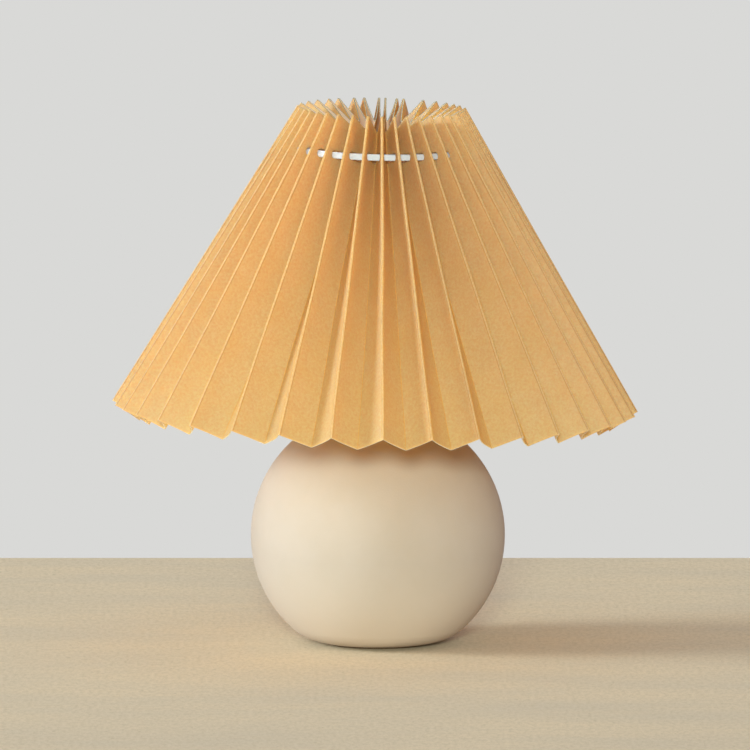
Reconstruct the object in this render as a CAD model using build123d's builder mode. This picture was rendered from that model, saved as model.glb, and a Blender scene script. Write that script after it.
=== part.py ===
from build123d import *
import os
from math import atan, atan2, cos, degrees, pi, radians, sin, sqrt

os.makedirs("parts", exist_ok=True)

# Table lamp: a ceramic ball on a flat foot, a small screw lampholder and a pleated paper cone shade.
# Millimetres. The origin is the middle of the foot on the table, +Z is up and the front is -Y.

# Ceramic ball
ball_radius = 67.0
ball_centre = 57.4
ball_wall = 6.0
foot_rounding = 26.0
recess_radius = 21.5
recess_depth = 2.0
foot_hole_radius = 16.5
neck_seat_radius = 14.0
neck_hole_radius = 5.6
felt_thickness = 1.2
felt_radius = 26.5

# Clamping rod through the ball and what it holds
tube_radius = 5.0
tube_bore_radius = 3.75
tube_bottom = 2.2
tube_top = 134.5
rod_clearance = 0.2
plate_sheet = 1.2
plate_radius = 21.2
dish_radius = 15.5
dish_rise = 7.0
base_nut_flats = 17.0
base_nut_thickness = 5.0
lock_washer_radius = 9.0
lock_washer_thickness = 0.8
lock_washer_teeth = 12
rubber_radius = 12.0
rubber_thickness = 1.5
neck_cap_radius = 18.0
neck_cap_sheet = 1.0
neck_nut_flats = 14.0
neck_nut_thickness = 3.0

# Cord inlet, low in the back of the ball
inlet_angle = 35.0
inlet_hole_radius = 6.0
inlet_bore_radius = 3.3
inlet_flange_radius = 8.5
inlet_spot_radius = 9.0
inlet_rim = 1.6

# Small screw lampholder
holder_radius = 14.4
holder_wall = 1.8
holder_boss_radius = 9.0
holder_cap_height = 20.6
holder_boss_height = 7.6
holder_skirt_height = 35.0
holder_shoulder_height = 8.0
holder_bore_radius = 12.2
holder_mouth_radius = 8.2
holder_lip = 1.6
thread_radius = 14.0
thread_pitch = 2.0
thread_depth = 0.5
block_flange_radius = 13.2
block_flange_height = 2.0
block_radius = 12.0
block_height = 9.5
socket_radius = 7.25
socket_sheet = 0.35
socket_height = 22.0
contact_sheet = 0.4
contact_width = 4.0
contact_rise = 2.5
terminal_offset = 6.5
terminal_width = 5.0
terminal_depth = 6.0
terminal_height = 7.5
terminal_screw_radius = 1.5
terminal_head_radius = 2.4
grub_screw_radius = 1.5
grub_screw_rise = 4.6

# Threaded shade rings, and the white steel carrier that they clamp
shade_ring_radius = 21.0
shade_ring_bore = 14.3
shade_ring_height = 5.5
shade_ring_grips = 24
shade_ring_grip_radius = 1.6
lower_ring_rise = 9.5
clamp_gap = 0.05
collar_radius = 24.6
collar_bore = 14.4
collar_sheet = 1.2
arm_radius = 0.9
arm_foot_radius = 23.0
arm_foot_height = 5.0
arm_head_height = 9.0
arm_bend_radius = 12.0
arm_nominal_angles = (60, 180, 300)
weld_depth = 0.05
carrier_radius = 44.7
carrier_drop = 21.5
carrier_height = 3.4
carrier_width = 2.0
carrier_edge_rounding = 0.4
carrier_offset = -1.0

# Pleated shade: its axis leans a little to the right
shade_lean = 1.3
lean_pivot = 190.0
shade_top = 284.0
shade_bottom = 125.6
pleat_count = 36
ridge_top_radius = 44.5
ridge_bottom_radius = 138.5
valley_top_radius = 27.8
valley_top_drop = 10.0
valley_bottom_radius = 127.2
valley_bottom_drop = 6.7
paper = 0.5
slot_height = 4.4
slot_end_radius = 50.7
slot_slope = 0.25
slot_length = 26.0

# Its folds are straight lines that spread unevenly: a turn of the whole and waves round it, in degrees
top_turn = -2.6
top_wave_1, top_wave_3, top_wave_5 = -6.1, 2.1, -1.15
top_lobe_2, top_lobe_6 = 1.75, 0.9
bottom_turn = 0.5
bottom_wave_2, bottom_wave_5 = 4.2, -0.5
bottom_lobe_3 = 1.2

# Round the back they are looser still: how much further each fold stands turned at the top, in degrees
loose_from = 60
loose_turns = (0, 4, 6, 9, 11, 12, 7.5, 4.5, 4, 4.5, 8, 1)
loose_turns += (-2.5, -8.5, -7.5, -9.5, -8, -11, -11.5, -12, -10, -6, -2, 0)

# Golf-ball bulb with a small screw cap
screw_pitch = 2.82
screw_depth = 0.5
bulb_tip_bottom = 161.1
bulb_tip_radius = 2.4
bulb_tip_height = 1.2
bulb_cap_radius = 6.85
bulb_cap_bottom = 165.5
bulb_cap_top = 184.5
bulb_cap_sheet = 0.4
housing_neck_radius = 8.6
housing_top = 209.0
housing_radius = 21.5
housing_wall = 1.6
globe_radius = 22.5
globe_centre = 216.5
globe_wall = 1.2
board_radius = 19.5
board_thickness = 1.2
board_drop = 2.0
chip_count = 8
chip_circle = 11.0
chip_size = 3.5
chip_thickness = 0.8
driver_width = 11.0
driver_height = 18.0
driver_thickness = 1.2


def section(inner, outer, low, high, mode=Mode.ADD):
    """A rectangle of a turned piece, from its inner to its outer radius and from low to high."""
    with Locations((inner, low)):
        Rectangle(outer - inner, high - low, align=(Align.MIN, Align.MIN), mode=mode)


def outline(points):
    """A closed straight-sided outline in the sketch that is being drawn."""
    Polygon(*points, align=None)


def thread_points(radius, depth, pitch, low, high):
    """Crests and roots of a thread from low to high, as plain rings in place of its helix."""
    points = [(radius - depth, low)]
    for turn in range(round((high - low) / pitch)):
        points.append((radius, low + (turn + 0.5) * pitch))
        points.append((radius - depth, low + (turn + 1) * pitch))
    return points


def save(piece, name):
    """Names a finished piece and writes it to its own file."""
    piece.part.label = name
    export_step(piece.part, f"parts/{name}.step")


# Ceramic ball: hollow, softly rounded down to a flat foot, open below and at the neck
foot_plane = felt_thickness
recess_top = foot_plane + recess_depth
neck_seat = ball_centre + sqrt(ball_radius**2 - neck_seat_radius**2)
inlet_out = (0, cos(radians(inlet_angle)), -sin(radians(inlet_angle)))
inlet_seat = sqrt(ball_radius**2 - inlet_spot_radius**2)
inlet_plane = Plane(
    origin=(0, inlet_seat * inlet_out[1], ball_centre + inlet_seat * inlet_out[2]),
    z_dir=inlet_out,
)

with BuildPart() as ceramic_ball:
    with BuildSketch(Plane.XZ) as ball_profile:
        with Locations((0, ball_centre)):
            Circle(ball_radius)
        with Locations((0, foot_plane)):
            Rectangle(4 * ball_radius, ball_radius, align=(Align.CENTER, Align.MAX), mode=Mode.SUBTRACT)
        fillet(ball_profile.vertices().group_by(Axis.Y)[0], foot_rounding)
        offset(amount=-ball_wall, mode=Mode.SUBTRACT)
        with Locations((0, ball_centre)):
            Rectangle(2 * ball_radius, 4 * ball_radius, align=(Align.MAX, Align.CENTER), mode=Mode.SUBTRACT)
        section(0, neck_hole_radius, ball_centre, 3 * ball_radius, mode=Mode.SUBTRACT)
        section(0, 2 * neck_seat_radius, neck_seat, 3 * ball_radius, mode=Mode.SUBTRACT)
        section(0, foot_hole_radius, 0, ball_centre, mode=Mode.SUBTRACT)
        section(0, recess_radius, 0, recess_top, mode=Mode.SUBTRACT)
    revolve(axis=Axis.Z)
    with BuildSketch(inlet_plane):
        Circle(inlet_hole_radius)
    extrude(amount=-2 * ball_wall, mode=Mode.SUBTRACT)
    with BuildSketch(inlet_plane):
        Circle(inlet_spot_radius)
    extrude(amount=ball_wall, mode=Mode.SUBTRACT)
save(ceramic_ball, "ceramic_ball")

# Felt pad: glued under the foot, it hides the base plate
with BuildPart() as felt_pad:
    with BuildSketch():
        Circle(felt_radius)
    extrude(amount=felt_thickness)
save(felt_pad, "felt_pad")

# Base plate: a dished steel disc that bears on the roof of the recess in the foot
dish_top = recess_top + dish_rise
with BuildPart() as base_plate:
    with BuildSketch(Plane.XZ):
        section(tube_radius + rod_clearance, plate_radius, recess_top - plate_sheet, dish_top)
        section(0, dish_radius - plate_sheet, 0, dish_top - plate_sheet, mode=Mode.SUBTRACT)
        section(dish_radius, plate_radius, recess_top, dish_top, mode=Mode.SUBTRACT)
    revolve(axis=Axis.Z)
    dish_edges = base_plate.edges().filter_by(GeomType.CIRCLE).group_by(Axis.Z)[-1]
    fillet(dish_edges.sort_by(SortBy.RADIUS)[-1], plate_sheet / 2)
save(base_plate, "base_plate")

# Lock washer and nut inside the dish
washer_top = dish_top - plate_sheet
with BuildPart() as lock_washer:
    with BuildSketch(Plane.XY.offset(washer_top - lock_washer_thickness)):
        Circle(lock_washer_radius)
        Circle(tube_radius + rod_clearance, mode=Mode.SUBTRACT)
        with PolarLocations(lock_washer_radius, lock_washer_teeth):
            Rectangle(1.6, 1.2, mode=Mode.SUBTRACT)
    extrude(amount=lock_washer_thickness)
save(lock_washer, "lock_washer")


def hex_nut(bottom, flats, thickness):
    """A hexagon nut round the rod, with its corners turned off."""
    corner = flats / sqrt(3)
    turned_off = corner - flats / 2
    with BuildPart() as nut:
        with BuildSketch(Plane.XY.offset(bottom)):
            RegularPolygon(flats / 2, 6, major_radius=False)
            Circle(tube_radius + clamp_gap, mode=Mode.SUBTRACT)
        extrude(amount=thickness)
        with BuildSketch(Plane.XZ):
            outline(
                [
                    (0, bottom),
                    (flats / 2, bottom),
                    (corner, bottom + turned_off / 2),
                    (corner, bottom + thickness - turned_off / 2),
                    (flats / 2, bottom + thickness),
                    (0, bottom + thickness),
                ]
            )
        revolve(axis=Axis.Z, mode=Mode.INTERSECT)
    return nut


base_nut_bottom = washer_top - lock_washer_thickness - base_nut_thickness
base_nut = hex_nut(base_nut_bottom, base_nut_flats, base_nut_thickness)
save(base_nut, "base_nut")

# Threaded tube: the rod that holds the lamp together, hollow for the wires
with BuildPart() as threaded_tube:
    with BuildSketch(Plane.XZ):
        section(tube_bore_radius, tube_radius, tube_bottom, tube_top)
    revolve(axis=Axis.Z)
    rod_ends = threaded_tube.edges().filter_by(GeomType.CIRCLE).group_by(SortBy.RADIUS)[-1]
    chamfer(rod_ends, 0.4)
save(threaded_tube, "threaded_tube")

# Rubber washer on the flat of the neck, under a spun cap
rubber_top = neck_seat + rubber_thickness
with BuildPart() as neck_washer:
    with BuildSketch(Plane.XY.offset(neck_seat)):
        Circle(rubber_radius)
        Circle(tube_radius + rod_clearance, mode=Mode.SUBTRACT)
    extrude(amount=rubber_thickness)
save(neck_washer, "neck_washer")

cap_top = rubber_top + neck_cap_sheet
cap_rim = ball_centre + sqrt(ball_radius**2 - neck_cap_radius**2) + rod_clearance
with BuildPart() as neck_cap:
    with BuildSketch(Plane.XZ):
        outline(
            [
                (tube_radius + rod_clearance, rubber_top),
                (rubber_radius + rod_clearance, rubber_top),
                (neck_cap_radius - neck_cap_sheet, cap_rim + rod_clearance),
                (neck_cap_radius, cap_rim),
                (neck_cap_radius, cap_rim + neck_cap_sheet),
                (rubber_radius + neck_cap_sheet, cap_top),
                (tube_radius + rod_clearance, cap_top),
            ]
        )
    revolve(axis=Axis.Z)
save(neck_cap, "neck_cap")

neck_nut = hex_nut(cap_top, neck_nut_flats, neck_nut_thickness)
save(neck_nut, "neck_nut")

# Cord grommet: a rubber bush in the hole in the back of the ball
inner_wall = ball_wall + inlet_rim / 4
with BuildPart() as cord_grommet:
    with BuildSketch(inlet_plane):
        Circle(inlet_flange_radius)
    extrude(amount=inlet_rim)
    outer_edge = cord_grommet.edges().filter_by(GeomType.CIRCLE).sort_by(Axis(inlet_plane.origin, inlet_out))
    fillet(outer_edge[-1], inlet_rim / 2)
    with BuildSketch(inlet_plane):
        Circle(inlet_hole_radius - clamp_gap)
    extrude(amount=-inner_wall)
    with BuildSketch(inlet_plane.offset(-inner_wall)):
        Circle(inlet_hole_radius + inlet_rim)
    extrude(amount=-inlet_rim)
    with BuildSketch(inlet_plane.offset(inlet_rim)):
        Circle(inlet_bore_radius)
    extrude(amount=-3 * ball_wall, mode=Mode.SUBTRACT)
save(cord_grommet, "cord_grommet")

# Lampholder cap: screws down on the end of the rod
holder_bottom = cap_top + neck_nut_thickness
skirt_bottom = holder_bottom + holder_cap_height
boss_top = holder_bottom + holder_boss_height
grub_plane = Plane(origin=(0, 0, holder_bottom + grub_screw_rise), z_dir=(0, 1, 0))
with BuildPart() as holder_cap:
    with BuildSketch(Plane.XZ) as cap_profile:
        outline(
            [
                (tube_radius + clamp_gap, holder_bottom),
                (holder_boss_radius, holder_bottom),
                (holder_boss_radius, holder_bottom + holder_wall),
                (holder_radius, boss_top + holder_wall),
                (holder_radius, skirt_bottom),
                (holder_radius - holder_wall, skirt_bottom),
                (holder_radius - holder_wall, boss_top + 2 * holder_wall),
                (holder_boss_radius, boss_top),
                (tube_radius + clamp_gap, boss_top),
            ]
        )
        outer_corner = cap_profile.vertices().filter_by_position(Axis.Y, boss_top, boss_top + 2)
        fillet(outer_corner.sort_by(Axis.X)[-1], 3 * holder_wall)
    revolve(axis=Axis.Z)
    with BuildSketch(grub_plane):
        Circle(grub_screw_radius)
    extrude(amount=holder_radius, mode=Mode.SUBTRACT)
save(holder_cap, "holder_cap")

with BuildPart() as holder_grub_screw:
    with BuildSketch(grub_plane.offset(tube_radius + clamp_gap)):
        Circle(grub_screw_radius - clamp_gap)
    extrude(amount=holder_boss_radius - tube_radius)
    with BuildSketch(grub_plane.offset(holder_boss_radius)):
        Rectangle(2 * grub_screw_radius, 0.5)
    extrude(amount=-0.8, mode=Mode.SUBTRACT)
save(holder_grub_screw, "holder_grub_screw")

# Lampholder skirt: threaded outside for the shade rings, with a lip round the bulb's cap
skirt_top = skirt_bottom + holder_skirt_height
thread_bottom = skirt_bottom + holder_shoulder_height
thread_top = thread_bottom + thread_pitch * int((skirt_top - thread_bottom) / thread_pitch)
with BuildPart() as holder_skirt:
    with BuildSketch(Plane.XZ):
        thread = thread_points(thread_radius, thread_depth, thread_pitch, thread_bottom, thread_top)
        outline(
            [(holder_bore_radius, skirt_bottom), (holder_radius, skirt_bottom), (holder_radius, thread_bottom)]
            + thread
            + [
                (thread_radius - thread_depth, skirt_top),
                (holder_mouth_radius, skirt_top),
                (holder_mouth_radius, skirt_top - holder_lip),
                (holder_bore_radius, skirt_top - holder_lip),
            ]
        )
        flange_room = block_flange_height + clamp_gap
        section(0, block_flange_radius + clamp_gap, 0, skirt_bottom + flange_room, mode=Mode.SUBTRACT)
    revolve(axis=Axis.Z)
save(holder_skirt, "holder_skirt")

# Contact block: carries the socket and the terminals, and its flange is held between cap and skirt
block_top = skirt_bottom + block_height
with BuildPart() as contact_block:
    with BuildSketch(Plane.XY.offset(skirt_bottom)):
        Circle(block_flange_radius)
    extrude(amount=block_flange_height)
    with BuildSketch(Plane.XY.offset(skirt_bottom)):
        Circle(block_radius)
    extrude(amount=block_height)
    chamfer(contact_block.edges().group_by(Axis.Z)[-1], 0.6)
save(contact_block, "contact_block")

with BuildPart() as screw_shell:
    with BuildSketch(Plane.XZ):
        crests = thread_points(
            socket_radius + screw_depth, screw_depth, screw_pitch, block_top, block_top + 7 * screw_pitch
        )
        shell_end = block_top + socket_height
        outside = [(radius + socket_sheet, height) for radius, height in crests]
        outline(
            crests
            + [(socket_radius, shell_end), (socket_radius + socket_sheet, shell_end)]
            + outside[::-1]
        )
    revolve(axis=Axis.Z)
save(screw_shell, "screw_shell")

with BuildPart() as centre_contact:
    with BuildSketch(Plane.XZ):
        outline(
            [
                (-5.0, block_top),
                (-1.5, block_top),
                (1.5, block_top + contact_rise - contact_sheet),
                (4.0, block_top + contact_rise - contact_sheet),
                (4.0, block_top + contact_rise),
                (1.5 - contact_sheet / 2, block_top + contact_rise),
                (-1.5 - contact_sheet / 2, block_top + contact_sheet),
                (-5.0, block_top + contact_sheet),
            ]
        )
    extrude(amount=contact_width / 2, both=True)
save(centre_contact, "centre_contact")

side_contact_inside = socket_radius + screw_depth + socket_sheet
with BuildPart() as side_contact:
    with BuildSketch(Plane.XZ):
        section(side_contact_inside, side_contact_inside + contact_sheet, block_top, block_top + 10)
        section(side_contact_inside, side_contact_inside + 3, block_top, block_top + contact_sheet)
    extrude(amount=contact_width / 2, both=True)
save(side_contact, "side_contact")

# Terminals under the contact block: two brass blocks, each with its clamping screw
terminal_middle = skirt_bottom - terminal_height / 2
screw_plane = Plane(origin=(0, -terminal_depth / 2, terminal_middle), x_dir=(1, 0, 0), z_dir=(0, -1, 0))
with BuildPart() as terminal_blocks:
    with BuildSketch(Plane.XY.offset(skirt_bottom)):
        with Locations((-terminal_offset, 0), (terminal_offset, 0)):
            Rectangle(terminal_width, terminal_depth)
    extrude(amount=-terminal_height)
    with BuildSketch(screw_plane):
        with Locations((-terminal_offset, 0), (terminal_offset, 0)):
            Circle(terminal_screw_radius)
    extrude(amount=-terminal_depth, mode=Mode.SUBTRACT)
save(terminal_blocks, "terminal_blocks")

with BuildPart() as terminal_screws:
    with BuildSketch(screw_plane):
        with Locations((-terminal_offset, 0), (terminal_offset, 0)):
            Circle(terminal_screw_radius - clamp_gap)
    extrude(amount=-terminal_depth + 1)
    with BuildSketch(screw_plane):
        with Locations((-terminal_offset, 0), (terminal_offset, 0)):
            Circle(terminal_head_radius)
    extrude(amount=1.6)
    with BuildSketch(screw_plane.offset(1.6)):
        with Locations((-terminal_offset, 0), (terminal_offset, 0)):
            Rectangle(2 * terminal_head_radius, 0.7)
    extrude(amount=-0.8, mode=Mode.SUBTRACT)
save(terminal_screws, "terminal_screws")

# Shade rings: a fixed one under the carrier's collar and a loose one that clamps it from above
lower_ring_bottom = skirt_bottom + lower_ring_rise
collar_bottom = lower_ring_bottom + shade_ring_height + clamp_gap
collar_top = collar_bottom + collar_sheet
upper_ring_bottom = collar_top + clamp_gap


def shade_ring(bottom, bore):
    """A moulded ring with finger grips round its edge."""
    with BuildPart() as ring:
        with BuildSketch(Plane.XY.offset(bottom)):
            Circle(shade_ring_radius)
            Circle(bore, mode=Mode.SUBTRACT)
            with PolarLocations(shade_ring_radius + shade_ring_grip_radius / 2, shade_ring_grips):
                Circle(shade_ring_grip_radius, mode=Mode.SUBTRACT)
        extrude(amount=shade_ring_height)
    return ring


lower_shade_ring = shade_ring(lower_ring_bottom, thread_radius + clamp_gap)
save(lower_shade_ring, "lower_shade_ring")
upper_shade_ring = shade_ring(upper_ring_bottom, shade_ring_bore)
save(upper_shade_ring, "upper_shade_ring")

# Places on the leaning shade: level planes across its axis, and an upright plane through it
lean = radians(shade_lean)
lean_up = (sin(lean), 0, cos(lean))
lean_across = (cos(lean), 0, -sin(lean))
shade_level = Plane(origin=(0, 0, lean_pivot), x_dir=lean_across, z_dir=lean_up)
shade_upright = Plane(origin=(0, 0, lean_pivot), x_dir=lean_across, z_dir=(0, -1, 0))
shade_axis = Axis((0, 0, lean_pivot), lean_up)
carrier_centre = shade_level.from_local_coords((carrier_offset, 0, 0))
carrier_upright = Plane(origin=carrier_centre, x_dir=lean_across, z_dir=(0, -1, 0))
carrier_axis = Axis(carrier_centre, lean_up)
cone_top = shade_top - lean_pivot
cone_bottom = shade_bottom - lean_pivot
cone_height = cone_top - cone_bottom
valley_height = cone_height - valley_top_drop + valley_bottom_drop


def around(angle, radius):
    """A point round the shade's axis. The angle is from the front, growing towards the right."""
    return (radius * sin(radians(angle)), -radius * cos(radians(angle)))


def loose_turn(nominal):
    """The extra turn of a fold at the top. A valley takes the mean of the ridges beside it."""
    place = (nominal - loose_from) * pleat_count / 360
    if place <= 0 or place >= len(loose_turns) - 1:
        return 0
    before, share = int(place), place % 1
    return loose_turns[before] * (1 - share) + loose_turns[before + 1] * share


def top_angle(nominal):
    """Where a fold stands at the shade's top: the folds crowd on the right and at the front."""
    turn = radians(nominal)
    waves = top_wave_1 * sin(turn) + top_wave_3 * sin(3 * turn) + top_wave_5 * sin(5 * turn)
    lobes = top_lobe_2 * cos(2 * turn) + top_lobe_6 * cos(6 * turn)
    return nominal + top_turn + waves + lobes + loose_turn(nominal)


def bottom_angle(nominal):
    """Where a fold stands at the shade's bottom: the folds crowd at both sides."""
    turn = radians(nominal)
    waves = bottom_wave_2 * sin(2 * turn) + bottom_wave_5 * sin(5 * turn)
    return nominal + bottom_turn + waves + bottom_lobe_3 * cos(3 * turn)


def fold_place(nominal, share_down, top_radius, bottom_radius):
    """A point of a straight fold, a share of the way down it."""
    top_x, top_y = around(top_angle(nominal), top_radius)
    bottom_x, bottom_y = around(bottom_angle(nominal), bottom_radius)
    return (top_x + (bottom_x - top_x) * share_down, top_y + (bottom_y - top_y) * share_down)


# Shade carrier: collar on the holder, three welded arms, and a flat ring in the slots of the shade
with BuildPart() as carrier_collar:
    with BuildSketch(Plane.XY.offset(collar_bottom)):
        Circle(collar_radius)
        Circle(collar_bore, mode=Mode.SUBTRACT)
    extrude(amount=collar_sheet)
save(carrier_collar, "carrier_collar")

carrier_middle = cone_top - carrier_drop
with BuildPart() as carrier_ring:
    with BuildSketch(carrier_upright) as carrier_section:
        with Locations((carrier_radius, carrier_middle)):
            Rectangle(carrier_width, carrier_height)
        fillet(carrier_section.vertices(), carrier_edge_rounding)
    revolve(axis=carrier_axis)
save(carrier_ring, "carrier_ring")

arm_head_radius = carrier_radius - carrier_width / 2 - arm_radius + weld_depth
with BuildPart() as carrier_arms:
    for nominal_angle in arm_nominal_angles:
        fold_x, fold_y = fold_place(
            nominal_angle, carrier_drop / cone_height, ridge_top_radius, ridge_bottom_radius
        )
        angle = degrees(atan2(fold_x - carrier_offset, -fold_y))
        foot_x, foot_y = around(angle, arm_foot_radius)
        head_x, head_y = around(angle, arm_head_radius)
        head_x += carrier_offset
        with BuildLine() as arm_path:
            FilletPolyline(
                (foot_x, foot_y, collar_top - weld_depth),
                (foot_x, foot_y, collar_top + arm_foot_height),
                shade_level.from_local_coords((head_x, head_y, carrier_middle - arm_head_height)),
                shade_level.from_local_coords((head_x, head_y, carrier_middle + carrier_height / 2)),
                radius=arm_bend_radius,
            )
        with BuildSketch(Plane.XY.offset(collar_top - weld_depth)):
            with Locations((foot_x, foot_y)):
                Circle(arm_radius)
        sweep(path=arm_path.line)
save(carrier_arms, "carrier_arms")


def inward(start, end):
    """The normal of one side of a section whose corners are listed with their inside on the left."""
    return Vector(start[1] - end[1], end[0] - start[0]).normalized()


def pleats(height, inset):
    """The star-shaped section of the shade at a height along its axis, every side moved in by inset. The
    folds widen quickly below the top, so the sheet is even only between several such sections."""
    ridge_share = (cone_top - height) / cone_height
    valley_share = (cone_top - valley_top_drop - height) / valley_height
    corners = []
    for pleat in range(pleat_count):
        ridge_nominal = 360 * pleat / pleat_count
        valley_nominal = 360 * (pleat + 0.5) / pleat_count
        corners.append(fold_place(ridge_nominal, ridge_share, ridge_top_radius, ridge_bottom_radius))
        corners.append(fold_place(valley_nominal, valley_share, valley_top_radius, valley_bottom_radius))
    points = []
    for corner, (x, y) in enumerate(corners):
        before = inward(corners[corner - 1], corners[corner])
        after = inward(corners[corner], corners[(corner + 1) % len(corners)])
        shift = (before + after) * (inset / (1 + before.dot(after)))
        points.append((x + shift.X, y + shift.Y))
    return points


# Pleated shade: ridge and valley folds of one sheet, cut square to its slant at both ends
top_cut_slope = valley_top_drop / (ridge_top_radius - valley_top_radius)
bottom_cut_slope = valley_bottom_drop / (ridge_bottom_radius - valley_bottom_radius)
cut_reach = ridge_bottom_radius + 20
pleat_levels = (cone_top + 3, carrier_middle, cone_top - cone_height / 3, cone_bottom - 12)
with BuildPart() as pleated_shade:
    for pleat_level in pleat_levels:
        with BuildSketch(shade_level.offset(pleat_level)):
            outline(pleats(pleat_level, 0))
    loft(ruled=True)
    for pleat_level in pleat_levels:
        with BuildSketch(shade_level.offset(pleat_level)):
            outline(pleats(pleat_level, paper))
    loft(ruled=True, mode=Mode.SUBTRACT)
    with BuildSketch(shade_upright):
        outline(
            [
                (0, cone_top - top_cut_slope * ridge_top_radius),
                (cut_reach, cone_top + top_cut_slope * (cut_reach - ridge_top_radius)),
                (cut_reach, cone_bottom + bottom_cut_slope * (cut_reach - ridge_bottom_radius)),
                (0, cone_bottom - bottom_cut_slope * ridge_bottom_radius),
            ]
        )
    revolve(axis=shade_axis, mode=Mode.INTERSECT)
    slot_middle = slot_end_radius - slot_height / 2 - slot_length / 2
    ring_inside = carrier_radius - carrier_width / 2
    slot_level = carrier_middle + carrier_height / 2 + clamp_gap - slot_height / 2
    with BuildSketch(carrier_upright):
        with Locations((slot_middle, slot_level - slot_slope * (ring_inside - slot_middle))):
            SlotCenterToCenter(slot_length, slot_height, rotation=degrees(atan(slot_slope)))
    revolve(axis=carrier_axis, mode=Mode.SUBTRACT)
save(pleated_shade, "pleated_shade")

# Bulb: tip contact, insulator, screw cap, housing with its driver, light board and globe
tip_top = bulb_tip_bottom + bulb_tip_height
with BuildPart() as bulb_tip_contact:
    with BuildSketch(Plane.XZ):
        section(0, bulb_tip_radius, bulb_tip_bottom, tip_top)
    revolve(axis=Axis.Z)
    fillet(bulb_tip_contact.edges().group_by(Axis.Z)[0], bulb_tip_height / 2)
save(bulb_tip_contact, "bulb_tip_contact")

with BuildPart() as bulb_insulator:
    with BuildSketch(Plane.XZ):
        outline(
            [
                (0, tip_top),
                (bulb_tip_radius + 0.8, tip_top),
                (bulb_cap_radius - screw_depth - bulb_cap_sheet, bulb_cap_bottom),
                (0, bulb_cap_bottom),
            ]
        )
    revolve(axis=Axis.Z)
save(bulb_insulator, "bulb_insulator")

screw_turns = 6
with BuildPart() as bulb_screw_cap:
    with BuildSketch(Plane.XZ):
        screw_top = bulb_cap_bottom + screw_turns * screw_pitch
        crests = thread_points(bulb_cap_radius, screw_depth, screw_pitch, bulb_cap_bottom, screw_top)
        crest_root = bulb_cap_radius - screw_depth
        outline(
            crests
            + [
                (crest_root, bulb_cap_top),
                (crest_root - bulb_cap_sheet, bulb_cap_top),
                (crest_root - bulb_cap_sheet, bulb_cap_bottom),
            ]
        )
    revolve(axis=Axis.Z)
save(bulb_screw_cap, "bulb_screw_cap")

board_seat = housing_top - board_drop
with BuildPart() as bulb_housing:
    with BuildSketch(Plane.XZ):
        with BuildLine():
            neck_end = (housing_neck_radius, bulb_cap_top + 3)
            waist_end = (housing_radius, housing_top - 3)
            Line((crest_root, bulb_cap_top), (housing_neck_radius, bulb_cap_top))
            Line((housing_neck_radius, bulb_cap_top), neck_end)
            RadiusArc(neck_end, waist_end, -1.3 * globe_radius)
            Line(waist_end, (housing_radius, housing_top))
            Line((housing_radius, housing_top), (board_radius + clamp_gap, housing_top))
            Line((board_radius + clamp_gap, housing_top), (board_radius + clamp_gap, board_seat))
            Line((board_radius + clamp_gap, board_seat), (board_radius - housing_wall, board_seat))
            Line((board_radius - housing_wall, board_seat), (crest_root, bulb_cap_top + 3))
            Line((crest_root, bulb_cap_top + 3), (crest_root, bulb_cap_top))
        make_face()
    revolve(axis=Axis.Z)
save(bulb_housing, "bulb_housing")

with BuildPart() as driver_board:
    with BuildSketch(Plane.XY.offset(bulb_cap_top - driver_height / 3)):
        Rectangle(driver_width, driver_thickness)
    extrude(amount=driver_height)
save(driver_board, "driver_board")

with BuildPart() as light_board:
    with BuildSketch(Plane.XY.offset(board_seat)):
        Circle(board_radius)
    extrude(amount=board_thickness)
save(light_board, "light_board")

with BuildPart() as light_chips:
    with BuildSketch(Plane.XY.offset(board_seat + board_thickness)):
        with PolarLocations(chip_circle, chip_count):
            Rectangle(chip_size, chip_size)
    extrude(amount=chip_thickness)
save(light_chips, "light_chips")

with BuildPart() as bulb_globe:
    with BuildSketch(Plane.XZ):
        with Locations((0, globe_centre)):
            Circle(globe_radius)
            Circle(globe_radius - globe_wall, mode=Mode.SUBTRACT)
        section(-2 * globe_radius, 2 * globe_radius, 0, housing_top, mode=Mode.SUBTRACT)
        section(-2 * globe_radius, 0, 0, 2 * globe_centre, mode=Mode.SUBTRACT)
    revolve(axis=Axis.Z)
save(bulb_globe, "bulb_globe")
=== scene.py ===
import math

import bmesh
import bpy
import numpy as np
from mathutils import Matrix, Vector, noise


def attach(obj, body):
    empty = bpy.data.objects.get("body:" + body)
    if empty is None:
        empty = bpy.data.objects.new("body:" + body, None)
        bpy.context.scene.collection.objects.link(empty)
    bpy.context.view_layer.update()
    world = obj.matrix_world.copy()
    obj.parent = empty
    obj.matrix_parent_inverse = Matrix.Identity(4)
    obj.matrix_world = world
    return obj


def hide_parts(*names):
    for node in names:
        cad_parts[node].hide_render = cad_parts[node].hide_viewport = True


# Table lamp: a ceramic ball, a small screw lampholder and a pleated paper cone shade.
# Lengths are in metres, +Z is up and the front is -Y.
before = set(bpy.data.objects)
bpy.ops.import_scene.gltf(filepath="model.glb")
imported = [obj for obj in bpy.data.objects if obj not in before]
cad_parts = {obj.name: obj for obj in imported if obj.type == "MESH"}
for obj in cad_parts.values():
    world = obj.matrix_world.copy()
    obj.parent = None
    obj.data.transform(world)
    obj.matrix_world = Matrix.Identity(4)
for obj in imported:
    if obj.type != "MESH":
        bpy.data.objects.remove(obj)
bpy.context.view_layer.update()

MM = 0.001

# Camera, placed from the photograph: the frame is 750 pixels square
frame_pixels = 750
pixels_per_metre = 1898.5
view_distance = 10.0
view_elevation = 7.2
view_aim = Vector((-0.0015, 0.0, 0.1421))
view_reach = 100.0
sensor_width = 36.0

# Table: its back edge is seen behind the lamp
table_back = 0.331
table_reach = 3.0
table_thickness = 0.03
table_edge_rounding = 0.0015
table_edge_steps = 3

# Both lamps shine at this height above the table
lit_height = 0.12

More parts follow.
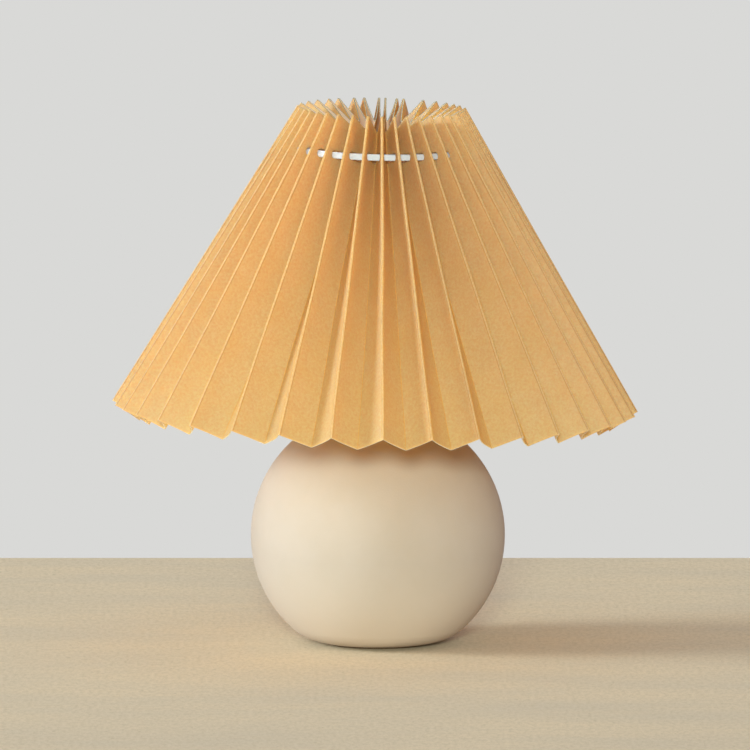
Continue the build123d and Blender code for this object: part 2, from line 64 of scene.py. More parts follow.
# Key light: a round soft box, cool, low on the left
key_bearing = -84
key_elevation = 15
key_distance = 3.8
key_size = 1.6
key_beam = math.radians(40)
key_power = 10.0
key_colour = (0.79, 0.965, 1.0)

# Front light: even and slightly green, from behind the camera
front_bearing = -1.5
front_elevation = 13
front_distance = 3.0
front_width = math.radians(8)
front_strength = 2.65
front_colour = (0.84, 1.0, 0.86)

# Room: its light on the lamp, and the wall that is seen behind it
room_colour = (1.0, 0.94, 0.97, 1.0)
room_strength = 0.45
wall_tone = (217, 217, 215)

# Pleated shade, as in the part's source
shade_lean = math.radians(1.3)
lean_pivot = 190.0 * MM
shade_top = 284.0 * MM
shade_bottom = 125.6 * MM
pleat_count = 36
ridge_top_radius = 44.5 * MM
ridge_bottom_radius = 138.5 * MM
valley_top_radius = 27.8 * MM
valley_top_drop = 10.0 * MM
valley_bottom_radius = 127.2 * MM
valley_bottom_drop = 6.7 * MM
paper = 0.5 * MM
slot_height = 4.4 * MM
slot_end_radius = 50.7 * MM
slot_slope = 0.25
slot_length = 26.0 * MM
top_turn = -2.6
top_wave_1, top_wave_3, top_wave_5 = -6.1, 2.1, -1.15
top_lobe_2, top_lobe_6 = 1.75, 0.9
bottom_turn = 0.5
bottom_wave_2, bottom_wave_5 = 4.2, -0.5
bottom_lobe_3 = 1.2
loose_from = 60
loose_turns = [0, 4, 6, 9, 11, 12, 7.5, 4.5, 4, 4.5, 8, 1]
loose_turns += [-2.5, -8.5, -7.5, -9.5, -8, -11, -11.5, -12, -10, -6, -2, 0]
carrier_offset = -1.0 * MM
carrier_radius = 44.7 * MM
carrier_drop = 21.5 * MM
carrier_height = 3.4 * MM
carrier_width = 2.0 * MM
clamp_gap = 0.05 * MM

cone_top = shade_top - lean_pivot
cone_bottom = shade_bottom - lean_pivot
cone_height = cone_top - cone_bottom
valley_height = cone_height - valley_top_drop + valley_bottom_drop
pleat_angle = 360.0 / pleat_count


def srgb(red, green, blue):
    """A colour given in 0 to 255, as the shaders take it."""
    channels = []
    for value in (red, green, blue):
        share = value / 255
        channels.append(share / 12.92 if share <= 0.04045 else ((share + 0.055) / 1.055) ** 2.4)
    return (*channels, 1.0)


# Camera
scene = bpy.context.scene
scene.view_settings.view_transform = "Standard"
camera_data = bpy.data.cameras.new("camera")
camera_data.sensor_width = sensor_width
camera_data.lens = sensor_width * view_distance * pixels_per_metre / frame_pixels
camera_data.clip_end = view_reach
camera = bpy.data.objects.new("camera", camera_data)
scene.collection.objects.link(camera)
view_rise = math.radians(view_elevation)
view_back = Vector((0.0, -math.cos(view_rise), math.sin(view_rise)))
camera.location = view_aim + view_back * view_distance
camera.rotation_euler = (-view_back).to_track_quat("-Z", "Y").to_euler()
scene.camera = camera


# Light: a cool soft box low on the left, a broad front light and an even room
lit_place = Vector((0.0, 0.0, lit_height))


def towards(bearing, elevation):
    """The direction of a lamp. The bearing is from the front, growing towards the right."""
    turn, rise = math.radians(bearing), math.radians(elevation)
    return Vector((math.sin(turn) * math.cos(rise), -math.cos(turn) * math.cos(rise), math.sin(rise)))


def add_lamp(name, kind, power, colour, direction, distance):
    """A lamp that shines at the lit place. The direction is the one that it stands in."""
    data = bpy.data.lights.new(name, kind)
    data.energy = power
    data.color = colour
    lamp = bpy.data.objects.new(name, data)
    scene.collection.objects.link(lamp)
    lamp.location = lit_place + direction * distance
    lamp.rotation_euler = (-direction).to_track_quat("-Z", "Y").to_euler()
    return data


key_direction = towards(key_bearing, key_elevation)
soft_box = add_lamp("soft_box", "AREA", key_power, key_colour, key_direction, key_distance)
soft_box.shape = "DISK"
soft_box.size = key_size
soft_box.spread = key_beam
front_direction = towards(front_bearing, front_elevation)
front_lamp = add_lamp("front_lamp", "SUN", front_strength, front_colour, front_direction, front_distance)
front_lamp.angle = front_width

world = bpy.data.worlds.new("room")
world.use_nodes = True
scene.world = world
world_nodes = world.node_tree.nodes
world_links = world.node_tree.links
world_nodes.clear()
world_output = world_nodes.new("ShaderNodeOutputWorld")
wall_light = world_nodes.new("ShaderNodeBackground")
wall_light.inputs["Color"].default_value = srgb(*wall_tone)
room_light = world_nodes.new("ShaderNodeBackground")
room_light.inputs["Color"].default_value = room_colour
room_light.inputs["Strength"].default_value = room_strength
# The wall is seen by the camera, in gloss and through glass, and the room's light falls on all the rest
ray = world_nodes.new("ShaderNodeLightPath")
camera_or_gloss = world_nodes.new("ShaderNodeMath")
camera_or_gloss.operation = "MAXIMUM"
seen_ray = world_nodes.new("ShaderNodeMath")
seen_ray.operation = "MAXIMUM"
world_mix = world_nodes.new("ShaderNodeMixShader")
world_links.new(ray.outputs["Is Camera Ray"], camera_or_gloss.inputs[0])
world_links.new(ray.outputs["Is Glossy Ray"], camera_or_gloss.inputs[1])
world_links.new(camera_or_gloss.outputs[0], seen_ray.inputs[0])
world_links.new(ray.outputs["Is Transmission Ray"], seen_ray.inputs[1])
world_links.new(seen_ray.outputs[0], world_mix.inputs[0])
world_links.new(room_light.outputs[0], world_mix.inputs[1])
world_links.new(wall_light.outputs[0], world_mix.inputs[2])
world_links.new(world_mix.outputs[0], world_output.inputs["Surface"])


class Look:
    """A procedural material: one Principled shader, and helpers that feed it from patterns."""

    def __init__(self, name, roughness=0.6, specular=0.5, metallic=0.0):
        self.material = bpy.data.materials.new(name)
        self.material.use_nodes = True
        self.nodes = self.material.node_tree.nodes
        self.links = self.material.node_tree.links
        self.shader = self.nodes["Principled BSDF"]
        self.output = self.nodes["Material Output"]
        self.shader.inputs["Roughness"].default_value = roughness
        self.shader.inputs["Specular IOR Level"].default_value = specular
        self.shader.inputs["Metallic"].default_value = metallic
        self.place = self.nodes.new("ShaderNodeTexCoord").outputs["Object"]

    def stretched(self, scale):
        """The place with each axis scaled, for a pattern that runs one way."""
        mapping = self.nodes.new("ShaderNodeMapping")
        mapping.inputs["Scale"].default_value = scale
        self.links.new(self.place, mapping.inputs["Vector"])
        return mapping.outputs[0]

    def grain(self, per_metre, detail=3.0, roughness=0.55, vector=None):
        """Cloudy noise of about 0 to 1, with so many clouds a metre."""
        made = self.nodes.new("ShaderNodeTexNoise")
        made.inputs["Scale"].default_value = per_metre
        made.inputs["Detail"].default_value = detail
        made.inputs["Roughness"].default_value = roughness
        self.links.new(vector or self.place, made.inputs["Vector"])
        return made.outputs["Fac"]

    def ramp(self, value, low, high, start=0.0, end=1.0):
        """The value stretched so that low gives start and high gives end, and held there."""
        made = self.nodes.new("ShaderNodeMapRange")
        made.inputs["From Min"].default_value = low
        made.inputs["From Max"].default_value = high
        made.inputs["To Min"].default_value = start
        made.inputs["To Max"].default_value = end
        self.links.new(value, made.inputs["Value"])
        return made.outputs[0]

    def times(self, a, b):
        """a times b."""
        made = self.nodes.new("ShaderNodeMath")
        made.operation = "MULTIPLY"
        self.links.new(a, made.inputs[0])
        self.links.new(b, made.inputs[1])
        return made.outputs[0]

    def plus(self, a, b, share=1.0):
        """a plus a share of b."""
        made = self.nodes.new("ShaderNodeMath")
        made.operation = "MULTIPLY_ADD"
        made.inputs[1].default_value = share
        self.links.new(b, made.inputs[0])
        self.links.new(a, made.inputs[2])
        return made.outputs[0]

    def mixed(self, share, first, second):
        """A colour between two colours, each a plain colour or another node's output."""
        made = self.nodes.new("ShaderNodeMix")
        made.data_type = "RGBA"
        self.links.new(share, made.inputs["Factor"])
        for socket, colour in ((made.inputs[6], first), (made.inputs[7], second)):
            if isinstance(colour, tuple):
                socket.default_value = colour
            else:
                self.links.new(colour, socket)
        return made.outputs[2]

    def height(self):
        """The height above the table, in metres."""
        made = self.nodes.new("ShaderNodeSeparateXYZ")
        self.links.new(self.place, made.inputs[0])
        return made.outputs["Z"]

    def measured(self, name):
        """A number that the mesh carries at its points."""
        made = self.nodes.new("ShaderNodeAttribute")
        made.attribute_name = name
        return made.outputs["Fac"]

    def coloured(self, colour):
        """The colour of the surface."""
        self.links.new(colour, self.shader.inputs["Base Color"])

    def roughened(self, value):
        """The roughness of the surface."""
        self.links.new(value, self.shader.inputs["Roughness"])

    def bumped(self, height, depth):
        """Relief of a real depth, in metres, from a height of 0 to 1."""
        made = self.nodes.new("ShaderNodeBump")
        made.inputs["Strength"].default_value = 1.0
        made.inputs["Distance"].default_value = depth
        self.links.new(height, made.inputs["Height"])
        self.links.new(made.outputs[0], self.shader.inputs["Normal"])

    def lets_light_through(self, share, colour):
        """A share of the light passes through the sheet and takes its colour."""
        through = self.nodes.new("ShaderNodeBsdfTranslucent")
        if isinstance(colour, tuple):
            through.inputs["Color"].default_value = colour
        else:
            self.links.new(colour, through.inputs["Color"])
        mix = self.nodes.new("ShaderNodeMixShader")
        mix.inputs[0].default_value = share
        self.links.new(self.shader.outputs[0], mix.inputs[1])
        self.links.new(through.outputs[0], mix.inputs[2])
        self.links.new(mix.outputs[0], self.output.inputs["Surface"])


gloss_spread = 0.05


def mottled(name, light, dark, clouds, roughness, relief, grit, specular=0.5, metallic=0.0):
    """A plain finish with real surface: two close tones in clouds, uneven gloss and fine relief. Clouds and
    grit are counts in a metre, and the relief is a depth in millimetres."""
    look = Look(name, roughness, specular, metallic)
    cloud_noise = look.grain(clouds, 4.0)
    grit_noise = look.grain(grit, 2.0)
    tone_share = look.ramp(look.plus(cloud_noise, grit_noise, 0.35), 0.45, 0.9)
    look.coloured(look.mixed(tone_share, srgb(*light), srgb(*dark)))
    look.roughened(look.ramp(grit_noise, 0.3, 0.7, roughness - gloss_spread, roughness + gloss_spread))
    look.bumped(grit_noise, relief * MM)
    return look.material


# Ceramic: a matte cream body with faint clouds and fine tooth, paler towards the foot: a painted light
body_light = srgb(189, 172, 161)
body_dark = srgb(184, 166, 152)
foot_painted_light = srgb(204, 185, 169)
painted_light_from = 0.05
painted_light_fully = 0.008
tooth_depth = 0.06 * MM

ceramic = Look("ceramic", roughness=0.7, specular=0.2)
body_clouds = ceramic.grain(22.0, 4.0, 0.6)
body_tooth = ceramic.grain(1400.0, 2.0)
body_tone = ceramic.mixed(ceramic.ramp(body_clouds, 0.3, 0.7), body_light, body_dark)
# Painted light: the body turns paler towards the foot
foot_painted_light_share = ceramic.ramp(ceramic.height(), painted_light_from, painted_light_fully)
ceramic.coloured(ceramic.mixed(foot_painted_light_share, body_tone, foot_painted_light))
ceramic.roughened(ceramic.ramp(body_clouds, 0.3, 0.7, 0.64, 0.74))
ceramic.bumped(ceramic.plus(body_tooth, body_clouds, 2.0), tooth_depth)

# Shade paper: mustard fibre paper outside, a white lining inside, pale where it is cut at the hem. Its
# ridges are paler, from worn paper and a painted highlight, with painted shade beside them. The paper's own
# tones are pale, because most of its colour is the light that passes through it
paper_light = srgb(212, 230, 217)
paper_dark = srgb(188, 202, 178)
paper_cloud = srgb(194, 199, 164)
# Painted shade: the paper is darker beside each ridge
painted_fold_shade = srgb(160, 134, 84)
# Paler ridges: worn paper and a painted highlight
fold_worn_and_highlit = srgb(246, 232, 196)
fold_scored = srgb(240, 196, 120)
fibres_cut = srgb(240, 234, 200)
glow_light = srgb(255, 221, 62)
glow_dark = srgb(255, 206, 46)
# Painted shade: the light through the paper is darker beside each ridge
glow_painted_shade = srgb(214, 150, 40)
# Paler light through the ridges: worn paper and a painted highlight
glow_worn_and_highlit = srgb(252, 228, 176)
paper_passes = 0.71
fibre_depth = 0.12 * MM

paper_out = Look("shade_paper", roughness=0.55, specular=0.6)
fibre_clouds = paper_out.grain(55.0, 4.0, 0.6)
fibre_grain = paper_out.grain(760.0, 3.0, 0.7)
fibre_flecks = paper_out.grain(1900.0, 2.0, 0.6)
paper_tone = paper_out.mixed(
    paper_out.ramp(paper_out.plus(fibre_grain, fibre_flecks, 0.6), 0.62, 0.98),
    paper_dark,
    paper_light,
)
paper_tone = paper_out.mixed(paper_out.ramp(fibre_clouds, 0.35, 0.75, 0.0, 0.35), paper_tone, paper_cloud)
# The ridges are paler, partly worn paper and partly a painted highlight
worn_and_highlit_fold = paper_out.times(
    paper_out.ramp(paper_out.measured("ridge_fold"), 0.94, 1.0, 0.0, 0.85),
    paper_out.ramp(fibre_grain, 0.3, 0.6, 0.6, 1.0),
)
# Painted shade beside each ridge, in the paper's colour and in the light it lets through
painted_shade_beside_fold = paper_out.ramp(paper_out.measured("ridge_fold"), 0.62, 0.9, 0.0, 0.6)
paper_tone = paper_out.mixed(painted_shade_beside_fold, paper_tone, painted_fold_shade)
paper_tone = paper_out.mixed(worn_and_highlit_fold, paper_tone, fold_worn_and_highlit)
scored_fold = paper_out.ramp(paper_out.measured("valley_fold"), 0.9, 1.0, 0.0, 0.6)
paper_tone = paper_out.mixed(scored_fold, paper_tone, fold_scored)
cut_fibres = paper_out.ramp(paper_out.measured("hem"), 0.7, 0.9, 0.0, 0.8)
paper_out.coloured(paper_out.mixed(cut_fibres, paper_tone, fibres_cut))
paper_out.roughened(paper_out.ramp(fibre_grain, 0.3, 0.7, 0.5, 0.62))
paper_out.bumped(paper_out.plus(fibre_grain, fibre_flecks, 0.7), fibre_depth)
glow_tone = paper_out.mixed(paper_out.ramp(fibre_grain, 0.35, 0.65), glow_dark, glow_light)
glow_tone = paper_out.mixed(painted_shade_beside_fold, glow_tone, glow_painted_shade)
paper_out.lets_light_through(paper_passes, paper_out.mixed(worn_and_highlit_fold, glow_tone, glow_worn_and_highlit))

lining_light = srgb(247, 244, 238)
lining_dark = srgb(238, 234, 227)
lining_glow = srgb(255, 217, 136)
lining_passes = 0.51
lining_depth = 0.06 * MM

paper_lining = Look("shade_lining", roughness=0.75, specular=0.3)
lining_clouds = paper_lining.grain(60.0, 4.0)
lining_grain = paper_lining.grain(900.0, 3.0)
paper_lining.coloured(
    paper_lining.mixed(
        paper_lining.ramp(paper_lining.plus(lining_clouds, lining_grain, 0.4), 0.5, 0.95),
        lining_light,
        lining_dark,
    )
)
paper_lining.roughened(paper_lining.ramp(lining_grain, 0.3, 0.7, 0.68, 0.82))
paper_lining.bumped(lining_grain, lining_depth)
paper_lining.lets_light_through(lining_passes, lining_glow)

# The cut edges are greyed, a painted shade that dims them where the light catches them; at the hem they are
# pale where the fibres are cut
edge_light = srgb(172, 164, 148)
edge_dark = srgb(162, 152, 134)
hem_pale = srgb(255, 244, 214)

paper_edge = Look("shade_cut_edge", roughness=0.85, specular=0.2)
edge_grain = paper_edge.grain(1200.0, 3.0)
edge_tone = paper_edge.mixed(paper_edge.ramp(edge_grain, 0.35, 0.65), edge_light, edge_dark)
paper_edge.coloured(paper_edge.mixed(paper_edge.measured("hem"), edge_tone, hem_pale))
paper_edge.roughened(paper_edge.ramp(edge_grain, 0.3, 0.7, 0.8, 0.92))

# Finishes of the fittings
felt = mottled(
    "felt",
    light=(134, 110, 88),
    dark=(112, 90, 70),
    clouds=500,
    roughness=0.95,
    relief=0.3,
    grit=1600,
    specular=0.1,
)
zinc_steel = mottled(
    "zinc_steel",
    light=(196, 198, 202),
    dark=(168, 170, 176),
    clouds=90,
    roughness=0.34,
    relief=0.01,
    grit=700,
    metallic=1.0,
)
rubber = mottled(
    "rubber",
    light=(196, 186, 168),
    dark=(180, 169, 150),
    clouds=160,
    roughness=0.78,
    relief=0.04,
    grit=1100,
    specular=0.3,
)
brass = mottled(
    "brass",
    light=(214, 178, 104),
    dark=(190, 150, 80),
    clouds=120,
    roughness=0.3,
    relief=0.01,
    grit=800,
    metallic=1.0,
)
white_plastic = mottled(
    "white_plastic",
    light=(233, 231, 226),
    dark=(225, 222, 215),
    clouds=70,
    roughness=0.42,
    relief=0.02,
    grit=1500,
)
grey_plastic = mottled(
    "grey_plastic",
    light=(176, 176, 174),
    dark=(160, 160, 158),
    clouds=90,
    roughness=0.5,
    relief=0.03,
    grit=1500,
)
white_paint = mottled(
    "white_paint",
    light=(213, 215, 228),
    dark=(203, 205, 218),
    clouds=110,
    roughness=0.5,
    relief=0.04,
    grit=1000,
)
nickel = mottled(
    "nickel",
    light=(206, 203, 196),
    dark=(182, 178, 170),
    clouds=140,
    roughness=0.24,
    relief=0.01,
    grit=900,
    metallic=1.0,
)
bulb_plastic = mottled(
    "bulb_plastic",
    light=(238, 237, 234),
    dark=(231, 229, 225),
    clouds=60,
    roughness=0.3,
    relief=0.01,
    grit=1200,
)
circuit_board = mottled(
    "circuit_board",
    light=(64, 128, 86),
    dark=(48, 104, 68),
    clouds=300,
    roughness=0.4,
    relief=0.03,
    grit=900,
)
light_board = mottled(
    "light_board",
    light=(236, 236, 232),
    dark=(226, 226, 222),
    clouds=200,
    roughness=0.35,
    relief=0.02,
    grit=900,
)
light_chip = mottled(
    "light_chip",
    light=(240, 208, 92),
    dark=(228, 190, 74),
    clouds=400,
    roughness=0.35,
    relief=0.02,
    grit=900,
)

opal_light = srgb(242, 240, 236)
opal_dark = srgb(235, 232, 226)
opal_glow = srgb(250, 246, 238)
opal_passes = 0.4

opal_glass = Look("opal_glass", roughness=0.28, specular=0.5)
opal_clouds = opal_glass.grain(40.0, 3.0)
opal_glass.coloured(opal_glass.mixed(opal_glass.ramp(opal_clouds, 0.35, 0.7), opal_light, opal_dark))
opal_glass.roughened(opal_glass.ramp(opal_clouds, 0.3, 0.7, 0.22, 0.32))
opal_glass.lets_light_through(opal_passes, opal_glow)

finishes = {
    ceramic.material: ["ceramic_ball"],
    felt: ["felt_pad"],
    zinc_steel: ["base_plate", "lock_washer", "base_nut", "threaded_tube", "neck_nut", "holder_grub_screw"],
    rubber: ["neck_washer", "cord_grommet"],
    brass: ["screw_shell", "centre_contact", "side_contact", "terminal_blocks", "terminal_screws"],
    white_plastic: ["holder_cap", "holder_skirt", "lower_shade_ring", "upper_shade_ring"],
    grey_plastic: ["contact_block", "bulb_insulator"],
    white_paint: ["neck_cap", "carrier_collar", "carrier_arms", "carrier_ring"],
    nickel: ["bulb_tip_contact", "bulb_screw_cap"],
    bulb_plastic: ["bulb_housing"],
    circuit_board: ["driver_board"],
    light_board: ["light_board"],
    light_chip: ["light_chips"],
    opal_glass.material: ["bulb_globe"],
}
for finish, names in finishes.items():
    for name in names:
        for material_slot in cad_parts[name].material_slots:
            material_slot.material = finish


# Pleated shade: how finely its mesh follows the folds
fold_radius = 0.4 * MM
fold_steps = 5
facet_steps = 4
upper_rows = 7
slot_rows = 8
lower_rows = 46
lower_crowding = 1.15
corner_drop = paper / 2 + fold_radius
sharp_from = math.radians(50)
slot_hold = 6

# Its folds drift by up to half a degree, least at the height of the slots
fold_drift = 0.5
drift_growth = 3.0
drift_between_folds = 5.31
drift_along_fold = 2.2
drift_seed_step = 1.7
ridge_seed = 3.0
valley_seed = 9.0

# Its facets are slightly hollow, in millimetres, and more so lower down
bow_mean = -0.7
bow_spread = 0.5
bow_between_facets = 3.17
bow_seed = (1.3, 0.4)
bow_at_top = 0.3
bow_growth = 1.4


def top_angle(nominal):
    """Where a fold stands at the shade's top: the folds crowd on the right and at the front."""
    turn = np.radians(nominal)
    waves = top_wave_1 * np.sin(turn) + top_wave_3 * np.sin(3 * turn) + top_wave_5 * np.sin(5 * turn)
    lobes = top_lobe_2 * np.cos(2 * turn) + top_lobe_6 * np.cos(6 * turn)
    loose_places = loose_from + np.arange(len(loose_turns)) * pleat_angle
    return nominal + top_turn + waves + lobes + np.interp(nominal, loose_places, loose_turns)


def bottom_angle(nominal):
    """Where a fold stands at the shade's bottom: the folds crowd at both sides."""
    turn = np.radians(nominal)
    waves = bottom_wave_2 * np.sin(2 * turn) + bottom_wave_5 * np.sin(5 * turn)
    return nominal + bottom_turn + waves + bottom_lobe_3 * np.cos(3 * turn)


def around(angle, radius):
    """Points round the shade's axis. The angle is from the front, growing towards the right."""
    return np.stack([radius * np.sin(np.radians(angle)), -radius * np.cos(np.radians(angle))], axis=-1)


def leaned(points):
    """Points given along the shade's own leaning axis, as places in the frame."""
    across, depth, up = points[..., 0], points[..., 1], points[..., 2]
    return np.stack(
        [
            across * math.cos(shade_lean) + up * math.sin(shade_lean),
            depth,
            lean_pivot - across * math.sin(shade_lean) + up * math.cos(shade_lean),
        ],
        axis=-1,
    )


def wander(share, size, seed):
    """A small smooth drift of each fold, in degrees, so that no two are quite alike."""
    looseness = min(1.0, abs(share - carrier_drop / cone_height) * drift_growth)
    drift = []
    for fold in range(pleat_count):
        spot = Vector((fold * drift_between_folds + seed, share * drift_along_fold, seed * drift_seed_step))
        drift.append(noise.noise(spot))
    return np.array(drift) * size * looseness


def fold_places(nominal, share, top_radius, bottom_radius, drift):
    """A point of each straight fold, a share of the way down it."""
    top = around(top_angle(nominal) + drift, top_radius)
    bottom = around(bottom_angle(nominal) + drift, bottom_radius)
    return top + (bottom - top) * share


# The slot runs level with the ring, rounded at its outer end, and slopes down inwards
carrier_middle = cone_top - carrier_drop
ring_inside = carrier_radius - carrier_width / 2
slot_level = carrier_middle + carrier_height / 2 + clamp_gap - slot_height / 2
slot_tilt = math.atan(slot_slope)
slot_half_height = slot_height / 2 / math.cos(slot_tilt)
slot_middle = slot_end_radius - slot_height / 2 - slot_length / 2


def slot_share(side, radius_at_top, radius_at_bottom, top, height):
    """How far down a fold the slot's line at side, from -1 below to 1 above, crosses it."""
    drop = top - (slot_level - slot_slope * (ring_inside - radius_at_top)) - side * slot_half_height
    return drop / (height + slot_slope * (radius_at_bottom - radius_at_top))


def slot_end(side):
    """The slot's outer radius on its line at side."""
    along = slot_length / 2 + slot_height / 2 * math.sqrt(max(0.0, 1 - side**2))
    return slot_middle + along * math.cos(slot_tilt) - side * slot_height / 2 * math.sin(slot_tilt)


def slot_row(side):
    """How far down its ridges and its valleys the slot's line at side runs."""
    ridge_share = slot_share(side, ridge_top_radius, ridge_bottom_radius, cone_top, cone_height)
    valley_share = slot_share(
        side, valley_top_radius, valley_bottom_radius, cone_top - valley_top_drop, valley_height
    )
    return ridge_share, valley_share


rows = []
slot_top, slot_bottom = slot_row(1.0), slot_row(-1.0)
for step in range(upper_rows):
    share = step / upper_rows
    rows.append((slot_top[0] * share, slot_top[1] * share, 1.0))
first_slot_row = len(rows)
for step in range(slot_rows + 1):
    side = math.cos(math.pi * step / slot_rows)
    rows.append((*slot_row(side), side))
last_slot_row = len(rows) - 1
for step in range(1, lower_rows + 1):
    share = (step / lower_rows) ** lower_crowding
    ridge_share = slot_bottom[0] + (1 - slot_bottom[0]) * share
    valley_share = slot_bottom[1] + (1 - slot_bottom[1]) * share
    rows.append((ridge_share, valley_share, -1.0))

facet_bow = []
for facet_number in range(2 * pleat_count):
    bow_noise = noise.noise(Vector((facet_number * bow_between_facets, *bow_seed)))
    facet_bow.append((bow_mean + bow_spread * bow_noise) * MM)


def facet_shares(ridge, valley, ridge_share, side):
    """Where the points of each facet stand between its ridge and its valley: one of them is at the slot's
    end, and away from the slot they spread evenly."""
    centre = np.array([carrier_offset, 0.0])
    ridge_radius = np.linalg.norm(ridge - centre, axis=-1)
    valley_radius = np.linalg.norm(valley - centre, axis=-1)
    end = (ridge_radius - slot_end(side)) / (ridge_radius - valley_radius)
    away = max(slot_top[0] - ridge_share, ridge_share - slot_bottom[0], 0.0)
    end = end + (0.5 - end) * min(1.0, away * slot_hold)
    steps = np.arange(1, facet_steps) / facet_steps
    near = end[:, None] * steps[None, :]
    far = end[:, None] + (1 - end)[:, None] * steps[None, :]
    return np.concatenate([near, end[:, None], far], axis=1)


def shade_row(ridge_share, valley_share, side):
    """One closed line of points round the folds of the sheet's middle."""
    ridge_level = cone_top - cone_height * ridge_share
    valley_level = cone_top - valley_top_drop - valley_height * valley_share
    nominal = np.arange(pleat_count) * pleat_angle
    ridge = fold_places(
        nominal,
        ridge_share,
        ridge_top_radius - corner_drop,
        ridge_bottom_radius - corner_drop,
        wander(ridge_share, fold_drift, ridge_seed),
    )
    valley = fold_places(
        nominal + pleat_angle / 2,
        valley_share,
        valley_top_radius - paper / 2 + fold_radius,
        valley_bottom_radius - paper / 2 + fold_radius,
        wander(ridge_share, fold_drift, valley_seed),
    )
    next_ridge = np.roll(ridge, -1, axis=0)

    def leaning_normal(start, end, turn):
        """Across the facet between two fold centres, which it passes on opposite sides."""
        gap = np.linalg.norm(end - start, axis=-1, keepdims=True)
        along = (end - start) / gap
        aside = np.stack([along[:, 1], -along[:, 0]], axis=-1) * turn
        sine = 2 * fold_radius / gap
        return sine * along + np.sqrt(1 - sine**2) * aside

    right = leaning_normal(ridge, valley, 1.0)
    left = leaning_normal(next_ridge, valley, -1.0)

    def arc(centre, first, last, direction):
        """Points round a fold from one facet to the next."""
        start = np.arctan2(first[:, 1], first[:, 0])
        span = np.mod(np.arctan2(last[:, 1], last[:, 0]) - start, 2 * math.pi)
        if direction < 0:
            span = span - 2 * math.pi
        share = np.linspace(0.0, 1.0, fold_steps + 1)
        angle = start[:, None] + span[:, None] * share[None, :]
        offset = np.stack([np.cos(angle), np.sin(angle)], axis=-1) * fold_radius
        return centre[:, None, :] + offset

    ridge_arc = arc(ridge, np.roll(left, 1, axis=0), right, 1)
    valley_arc = arc(valley, -right, -left, -1)
    right_shares = facet_shares(ridge, valley, ridge_share, side)
    left_shares = facet_shares(next_ridge, valley, ridge_share, side)
    bow_room = bow_at_top + bow_growth * ridge_share

    def facet(start, end, normal, shares, number):
        """Points across the right (0) or left (1) facet of each pleat. It bows most at its middle."""
        bow = np.array([facet_bow[2 * k + number] for k in range(pleat_count)]) * bow_room
        line = start[:, None, :] + (end - start)[:, None, :] * shares[..., None]
        swell = 4 * shares * (1 - shares)
        return line + normal[:, None, :] * bow[:, None, None] * swell[..., None]

    next_ridge_arc = np.roll(ridge_arc, -1, axis=0)
    right_facet = facet(ridge_arc[:, -1], valley_arc[:, 0], right, right_shares, 0)
    left_facet = facet(next_ridge_arc[:, 0], valley_arc[:, -1], left, left_shares, 1)[:, ::-1]
    plan = np.concatenate([ridge_arc, right_facet, valley_arc, left_facet], axis=1)
    at_fold = np.zeros((pleat_count, fold_steps + 1))
    fall = np.concatenate([at_fold, right_shares, at_fold + 1, left_shares[:, ::-1]], axis=1)
    level = ridge_level + (valley_level - ridge_level) * fall
    return leaned(np.concatenate([plan, level[..., None]], axis=-1).reshape(-1, 3))


facet_points = 2 * facet_steps - 1
pleat_points = 2 * (fold_steps + 1) + 2 * facet_points
ridge_mark = np.zeros(pleat_points)
valley_mark = np.zeros(pleat_points)
ridge_mark[: fold_steps + 1] = 1.0
valley_mark[fold_steps + 1 + facet_points : 2 * (fold_steps + 1) + facet_points] = 1.0
slot_from = fold_steps + facet_steps
slot_until = pleat_points - facet_steps


def sheet_object(name, grid, quads, marks, materials, thickness):
    """A sheet of the given thickness about a grid of points, with unused points left out."""
    used = np.unique(quads)
    renumbered = np.full(len(grid), -1)
    renumbered[used] = np.arange(len(used))
    mesh = bpy.data.meshes.new(name)
    mesh.from_pydata(grid[used].tolist(), [], renumbered[quads].tolist())
    for mark_name, values in marks.items():
        attribute = mesh.attributes.new(mark_name, "FLOAT", "POINT")
        attribute.data.foreach_set("value", values[used].astype(np.float32))
    for finish in materials:
        mesh.materials.append(finish)
    mesh.polygons.foreach_set("use_smooth", [True] * len(mesh.polygons))
    made = bpy.data.objects.new(name, mesh)
    scene.collection.objects.link(made)
    body = made.modifiers.new("paper", "SOLIDIFY")
    body.thickness = thickness
    body.offset = 0.0
    body.material_offset = 1
    body.material_offset_rim = 2
    made.data = bpy.data.meshes.new_from_object(made.evaluated_get(bpy.context.evaluated_depsgraph_get()))
    made.data.name = name
    made.modifiers.clear()
    made.data.set_sharp_from_angle(angle=sharp_from)
    return made


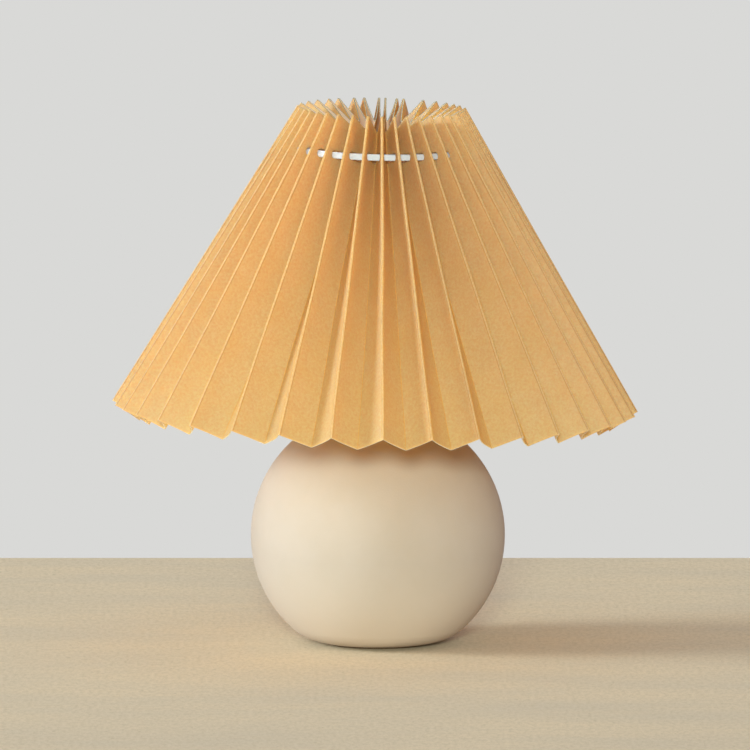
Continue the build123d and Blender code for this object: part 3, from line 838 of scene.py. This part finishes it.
grid = np.stack([shade_row(*row) for row in rows])
row_count, column_count = grid.shape[:2]
quads = []
for row in range(row_count - 1):
    in_slot = first_slot_row <= row < last_slot_row
    for column in range(column_count):
        if in_slot and slot_from <= column % pleat_points < slot_until:
            continue
        beside = (column + 1) % column_count
        quads.append(
            (
                row * column_count + column,
                (row + 1) * column_count + column,
                (row + 1) * column_count + beside,
                row * column_count + beside,
            )
        )
marks = {
    "ridge_fold": np.tile(np.tile(ridge_mark, pleat_count), row_count),
    "valley_fold": np.tile(np.tile(valley_mark, pleat_count), row_count),
    "hem": np.repeat(np.arange(row_count) == row_count - 1, column_count),
}
shade_finishes = [paper_out.material, paper_lining.material, paper_edge.material]
shade = sheet_object("shade_sheet", grid.reshape(-1, 3), np.array(quads), marks, shade_finishes, paper)
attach(shade, "shade")
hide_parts("pleated_shade")


# Table top: its clouds, grit and pits are counts in a metre along each axis
cloud_counts = (5.0, 16.0, 5.0)
grit_counts = (420.0, 160.0, 300.0)
pit_counts = (300.0, 130.0, 200.0)
table_light = srgb(227, 206, 178)
table_dark = srgb(215, 198, 176)
grit_dark = srgb(196, 177, 148)
pit_dark = srgb(200, 181, 152)
grit_depth = 0.15 * MM

table_look = Look("table_top", roughness=0.85, specular=0.1)
table_clouds = table_look.grain(1.0, 4.0, 0.55, table_look.stretched(cloud_counts))
table_grit = table_look.grain(1.0, 4.0, 0.7, table_look.stretched(grit_counts))
table_pits = table_look.ramp(table_look.grain(1.0, 1.0, 0.4, table_look.stretched(pit_counts)), 0.7, 0.82)
table_tone = table_look.mixed(table_look.ramp(table_clouds, 0.35, 0.7), table_light, table_dark)
table_tone = table_look.mixed(table_look.ramp(table_grit, 0.4, 0.65, 0.0, 0.5), table_tone, grit_dark)
table_look.coloured(table_look.mixed(table_pits, table_tone, pit_dark))
table_look.roughened(table_look.ramp(table_grit, 0.3, 0.7, 0.8, 0.92))
table_look.bumped(table_grit, grit_depth)

table_mesh = bpy.data.meshes.new("table_top")
table_form = bmesh.new()
bmesh.ops.create_cube(table_form, size=1.0)
for vertex in table_form.verts:
    vertex.co.x *= 2 * table_reach
    vertex.co.y = table_back if vertex.co.y > 0 else -table_reach
    vertex.co.z = 0.0 if vertex.co.z > 0 else -table_thickness
bmesh.ops.bevel(
    table_form,
    geom=table_form.edges[:],
    offset=table_edge_rounding,
    segments=table_edge_steps,
    affect="EDGES",
    profile=0.5,
)
table_form.to_mesh(table_mesh)
table_form.free()
table_mesh.materials.append(table_look.material)
table = bpy.data.objects.new("table_top", table_mesh)
scene.collection.objects.link(table)
